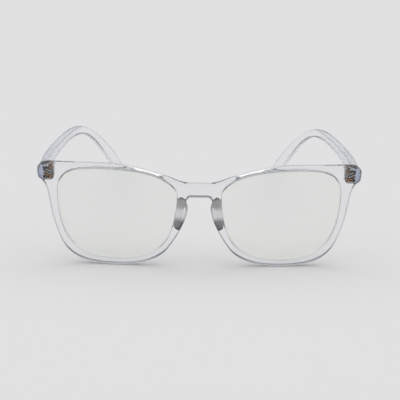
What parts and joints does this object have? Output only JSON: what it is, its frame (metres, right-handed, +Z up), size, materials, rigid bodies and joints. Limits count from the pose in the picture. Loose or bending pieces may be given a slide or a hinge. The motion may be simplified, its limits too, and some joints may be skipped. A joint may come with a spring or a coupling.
{
  "type": "blue light glasses",
  "caption": "Full-rim spectacles in clear plastic: softly squared lenses, keyhole bridge with fixed pads, barrel hinges and folding temples with curled ear tips.",
  "frame": {"origin": "on the surface the glasses stand on, under the middle of the whole object's box", "axes": "+X to the right of someone facing the front, +Y from the front back towards the ear tips, +Z up"},
  "size_m": [0.1402, 0.1288, 0.0472],
  "materials": {
    "frame_plastic": "clear polished",
    "lens": "clear coated, faint green-grey cast",
    "pad_plastic": "clear, slightly hazy",
    "hinge_metal": "copper-toned, satin",
    "screw_steel": "bright nickel"
  },
  "bodies": {
    "front": {"front_frame": "frame_plastic", "lens_right": "lens", "nose_pad_right": "pad_plastic", "hinge_front_leaf_right": "hinge_metal", "hinge_screw_right": "screw_steel", "lens_left": "lens", "nose_pad_left": "pad_plastic", "hinge_front_leaf_left": "hinge_metal", "hinge_screw_left": "screw_steel"},
    "temple_arm_right": {"temple_right": "frame_plastic", "hinge_temple_leaf_right": "hinge_metal"},
    "temple_arm_left": {"temple_left": "frame_plastic", "hinge_temple_leaf_left": "hinge_metal"}
  },
  "joints": [
    {"name": "fold_right", "type": "hinge", "parent": "front", "child": "temple_arm_right", "pos_m": [0.0642, -0.04968, 0.03998], "axis": [0, 0, 1], "range_deg": [0, 76]},
    {"name": "fold_left", "type": "hinge", "parent": "front", "child": "temple_arm_left", "pos_m": [-0.0642, -0.04968, 0.03998], "axis": [0, 0, -1], "range_deg": [0, 70]}
  ]
}
